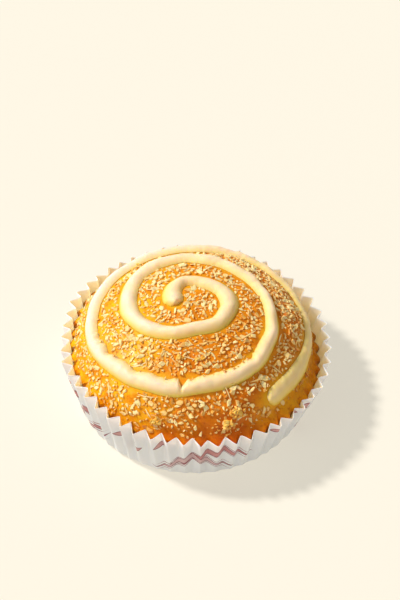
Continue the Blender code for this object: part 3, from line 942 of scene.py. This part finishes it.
def onBeadEdge(draw, bead, count):
    # places on the flank of the custard's inner edge, where that edge is torn
    b = custardBead
    torn = np.nonzero((bead["turns"] > b["tornFrom"]) & (bead["turns"] < b["tornTo"]))[0]
    picks = draw.choice(torn, count)
    inward = bead["inner"][picks] - draw.uniform(-0.1, 0.5, count)
    points = bead["points"][picks] + bead["across"][picks] * inward[:, None]
    up = bead["height"][picks] * draw.uniform(0.2, 0.55, count)
    points = points + bead["normal"][picks] * up[:, None]
    return points, bead["normal"][picks]


def heapPlaces(draw):
    # places of the golden crumbs, in small heaps whose middle stands higher
    c = goldenCrumbs
    degrees, radius, number, size = np.array(c["heaps"]).T
    heap = np.repeat(np.arange(len(number)), number.astype(int))
    away = draw.normal(0.0, 0.55, (len(heap), 2)) * size[heap][:, None]
    azimuth = np.radians(degrees)[heap] + c["stretch"][0] * away[:, 0] / radius[heap]
    points = onDome(radius[heap] + away[:, 1] * c["stretch"][1], azimuth)
    lift = c["rise"] * np.exp(-(away**2).sum(axis=1) / size[heap] ** 2)
    lift = lift * draw.uniform(0.0, 1.0, len(heap))
    normal = domeNormal(points)
    return points + normal * lift[:, None], normal


def turnedFrames(draw, normal, tilt):
    # three axes for each piece: along, across and up, with a random heading and tilt
    count = len(normal)
    heading = draw.uniform(0.0, fullTurn, count)
    side = np.cross(normal, [0.0, 0.0, 1.0]) + 1e-6
    side /= np.linalg.norm(side, axis=1, keepdims=True)
    other = np.cross(normal, side)
    along = side * np.cos(heading)[:, None] + other * np.sin(heading)[:, None]
    up = normal + along * draw.normal(0.0, tilt, count)[:, None]
    up += np.cross(normal, along) * draw.normal(0.0, tilt, count)[:, None]
    up /= np.linalg.norm(up, axis=1, keepdims=True)
    along -= up * (along * up).sum(axis=1, keepdims=True)
    along /= np.linalg.norm(along, axis=1, keepdims=True)
    return along, np.cross(up, along), up


def setDown(local, place, frames):
    # each piece's own points, turned to its three axes and moved to its place
    along, across, up = frames
    return (place[:, None] + local[..., :1] * along[:, None] + local[..., 1:2] * across[:, None]
            + local[..., 2:] * up[:, None])


def makeShards(name, material, draw, points, normal, kind):
    # each shard is a ring of points with uneven radii, a smaller ring above it, and a point
    # in the middle of its top and underside; its ends curl a little
    c = coconut
    count = len(points)
    sides = c["sides"]
    angle = (np.arange(sides) + draw.uniform(-0.34, 0.34, (count, sides))) * fullTurn / sides
    reach = draw.uniform(0.58, 1.30, (count, sides))
    shortest, longest = kind["length"]
    long = shortest + (longest - shortest) * draw.uniform(0.0, 1.0, count) ** c["shortness"]
    wide = long * draw.uniform(*kind["width"], count)
    thick = draw.uniform(*kind["thickness"], count)
    x = np.cos(angle) * reach * 0.5 * long[:, None]
    y = np.sin(angle) * reach * 0.5 * wide[:, None]
    low = np.stack([x, y, 0.0 * x], axis=-1)
    lift = thick[:, None] * draw.uniform(0.7, 1.2, (count, sides))
    top = np.stack([x * c["topScale"][0], y * c["topScale"][1], lift], axis=-1)
    crown = np.stack([0.0 * thick, 0.0 * thick, thick * draw.uniform(0.85, 1.15, count)], axis=-1)
    under = np.stack([0.0 * thick, 0.0 * thick, -0.3 * thick], axis=-1)
    local = np.concatenate([low, top, crown[:, None], under[:, None]], axis=1)
    curl = draw.uniform(-0.16, 0.30, count)
    local[..., 2] += curl[:, None] * local[..., 0] ** 2 / (0.5 * long[:, None])
    frames = turnedFrames(draw, normal, kind["tilt"])
    standing = skinRelief(points) - kind["sink"] * draw.uniform(0.3, 1.0, count)
    world = setDown(local, points + normal * standing[:, None], frames)
    each = 2 * sides + 2
    i = np.arange(sides)
    j = (i + 1) % sides
    triangles = np.concatenate([
        np.stack([i, j, sides + j], 1), np.stack([i, sides + j, sides + i], 1),
        np.stack([sides + i, sides + j, np.full(sides, 2 * sides)], 1),
        np.stack([j, i, np.full(sides, 2 * sides + 1)], 1),
    ])
    faces = (triangles[None] + np.arange(count)[:, None, None] * each).reshape(-1, 3)
    # painted shade: a piece is darker and warmer at its foot, where it sits in the glaze, and paler at
    # its crown, a painted light
    shadedFootTone = np.array([0.6] * sides + [0.0] * sides + [-0.15, 0.6])
    # and pieces in front and on the right, away from the key, are warmer and darker: painted shade
    forward = smoothStep(0.6 * points[:, 0] - 0.8 * points[:, 1], *c["shadedSideAcross"])
    toneLift = kind["toast"] + c["paintedShadeRise"] * forward - c["toastDrop"]
    tone = np.clip(draw.uniform(0.0, 1.0, count) + toneLift, 0.0, 1.0)[:, None] + shadedFootTone
    return putMesh(name, world, [faces], material, {"tone": tone}, flat=True)


def makeThreads(name, material, draw, points, normal):
    # each thread is a thin four-sided strip that bends to one side as a parabola and tapers
    # to its ends
    c = threads
    count = len(points)
    stations = c["stations"]
    long = draw.uniform(*c["length"], count)
    half = 0.5 * draw.uniform(*c["width"], count)
    s = np.linspace(-0.5, 0.5, stations)[None, :]
    bend = draw.normal(0.0, 0.22, count)[:, None]
    x = long[:, None] * s
    y = long[:, None] * bend * (s**2 - 0.08)
    z = 0.35 + long[:, None] * draw.uniform(-0.12, 0.2, count)[:, None] * s
    taper = half[:, None] * (1.0 - 0.75 * (2.0 * np.abs(s)) ** 3)
    offsets = np.array([(-1.5, -0.7), (1.5, -0.7), (1.5, 0.7), (-1.5, 0.7)])
    local = np.stack([
        np.repeat(x[..., None], 4, axis=2),
        y[..., None] + taper[..., None] * offsets[:, 0],
        z[..., None] + taper[..., None] * offsets[:, 1],
    ], axis=-1).reshape(count, stations * 4, 3)
    frames = turnedFrames(draw, normal, c["tilt"])
    world = setDown(local, points + normal * skinRelief(points)[:, None], frames)
    last = 4 * (stations - 1)
    ends = np.array([[3, 2, 1, 0], [last, last + 1, last + 2, last + 3]])
    quads = np.concatenate([gridFaces(stations, 4), ends])
    faces = (quads[None] + np.arange(count)[:, None, None] * stations * 4).reshape(-1, 4)
    tone = draw.uniform(0.0, 0.8, count)
    return putMesh(name, world, [faces], material, {"tone": np.repeat(tone, stations * 4)}, flat=True)


def makeCoconutPieces(bead):
    # all pieces share one row of random draws, so their order here matters
    draw = np.random.default_rng(coconut["seed"])
    white = makeCoconut("driedCoconut", rgb(0.97, 0.77, 0.38), rgb(0.85, 0.46, 0.10),
                        rgb(0.62, 0.21, 0.02))
    golden = makeCoconut("goldenCrumb", rgb(0.96, 0.62, 0.16), rgb(0.95, 0.50, 0.08),
                         rgb(0.90, 0.36, 0.03))
    points, normal = scatter(draw, flakes, bead)
    pieces = [makeShards("coconutFlakes", white, draw, points, normal, flakes)]
    points, normal = scatter(draw, crumbs, bead)
    stuck, stuckNormal = onBeadEdge(draw, bead, crumbs["onCustard"])
    points, normal = np.concatenate([points, stuck]), np.concatenate([normal, stuckNormal])
    pieces.append(makeShards("coconutCrumbs", white, draw, points, normal, crumbs))
    points, normal = scatter(draw, threads, bead)
    pieces.append(makeThreads("coconutThreads", white, draw, points, normal))
    points, normal = heapPlaces(draw)
    pieces.append(makeShards("goldenCrumbs", golden, draw, points, normal, goldenCrumbs))
    return pieces


# Stage

view = {
    "target": (-1.1, 0.8, 25.0),
    "elevation": np.radians(49.0),
    "distance": 560.0,
    "lens": 96.07,
    "sensor": 36.0,
    "shiftX": 0.011625,
    "shiftY": 0.06194,
}

light = {
    "fromAzimuth": np.radians(-106.0),  # the key stands to the left and a little behind
    "elevation": np.radians(48.0),
    "strength": 3.3,
    "softness": np.radians(7.0),
    "fillAzimuth": np.radians(-38.0),  # a weak wide light in front, to the left
    "fillElevation": np.radians(40.0),
    "fillStrength": 0.45,
    "fillSoftness": np.radians(70.0),
    "around": 0.38,            # strength of the even light from all round
    "floorGlow": 0.49,
    "floorReach": 3000.0,
}


def setCamera():
    # in front of the target and above it, looking at it
    data = bpy.data.cameras.new("camera")
    data.lens = view["lens"]
    data.sensor_width = view["sensor"]
    data.shift_x = view["shiftX"]
    data.shift_y = view["shiftY"]
    camera = bpy.data.objects.new("camera", data)
    bpy.context.scene.collection.objects.link(camera)
    target = Vector(view["target"]) * metresPerMm
    back = Vector((0.0, -np.cos(view["elevation"]), np.sin(view["elevation"])))
    camera.location = target + back * view["distance"] * metresPerMm
    camera.rotation_euler = (-back).to_track_quat("-Z", "Y").to_euler()
    bpy.context.scene.camera = camera


def addSun(name, azimuth, elevation, strength, softness):
    # a slightly warm sun that stands at an azimuth and an elevation
    data = bpy.data.lights.new(name, "SUN")
    data.energy = strength
    data.angle = softness
    data.color = (1.0, 0.97, 0.92)
    sun = bpy.data.objects.new(name, data)
    bpy.context.scene.collection.objects.link(sun)
    towards = Vector(around(np.cos(elevation), azimuth, np.sin(elevation)))
    sun.rotation_euler = towards.to_track_quat("Z", "Y").to_euler()


def setLight():
    addSun("key", light["fromAzimuth"], light["elevation"], light["strength"], light["softness"])
    addSun("fill", light["fillAzimuth"], light["fillElevation"], light["fillStrength"],
           light["fillSoftness"])
    world = bpy.data.worlds.new("studio")
    bpy.context.scene.world = world
    world.use_nodes = True
    background = world.node_tree.nodes["Background"]
    background.inputs["Color"].default_value = rgb(1.0, 0.985, 0.95)
    background.inputs["Strength"].default_value = light["around"]


def makeFloor():
    # a pale floor with a weak glow of its own, which keeps the shadow pale
    material = startMaterial("floorPaint", {
        "Base Color": rgb(0.405, 0.38, 0.33), "Roughness": 0.9, "Specular IOR Level": 0.1,
        "Emission Color": rgb(1.0, 0.955, 0.82), "Emission Strength": light["floorGlow"],
    })[0]
    reach = light["floorReach"]
    corners = np.array([[-reach, -reach, 0], [reach, -reach, 0], [reach, reach, 0], [-reach, reach, 0]])
    floor = putMesh("floor", corners, [np.array([[0, 1, 2, 3]])], material)


bpy.context.scene.view_settings.view_transform = "Standard"
setCamera()
setLight()
makeFloor()

bead = beadPath()
wall = caseWall()
crustPiece = makeCrust(makeGlaze(), bead, wall)
custardPiece = makeCustard(makeCustardCream(), bead)
casePiece = makePaperCase(makeCasePaper(), wall)
coconutPieces = makeCoconutPieces(bead)

for piece, node, slot in [
    (crustPiece, "bun", "glazed_crust"),
    (custardPiece, "custard_spiral", "custard"),
    (casePiece, "paper_case", "case_paper"),
    *[(piece, "bun", "glazed_crust") for piece in coconutPieces],
]:
    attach(piece, "root")
    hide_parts(node)
